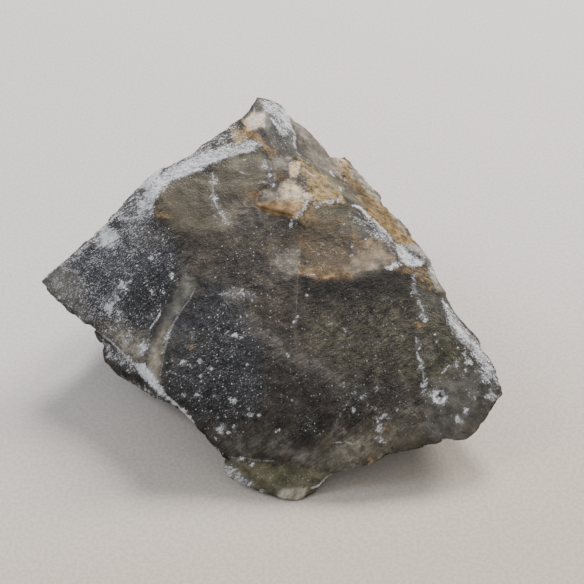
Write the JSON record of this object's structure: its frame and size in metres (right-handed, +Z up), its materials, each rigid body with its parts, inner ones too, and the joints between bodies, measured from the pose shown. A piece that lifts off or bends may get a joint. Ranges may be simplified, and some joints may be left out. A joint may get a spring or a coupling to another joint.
{
  "type": "aragonite specimen",
  "caption": "Rough broken block of dark massive aragonite with powdery white edges and a honey-brown scar, resting on a flat spot under its belly.",
  "frame": {"origin": "middle of the flat spot that the block rests on", "axes": "+Z up, +X to the right of the large broken face, -Y the way that face looks"},
  "size_m": [0.1042, 0.0867, 0.0459],
  "materials": {
    "aragonite": "rough broken massive stone, sugary to waxy, with white bruised edges and brown iron stain"
  },
  "bodies": {
    "root": {"aragonite_block": "aragonite"}
  },
  "joints": []
}
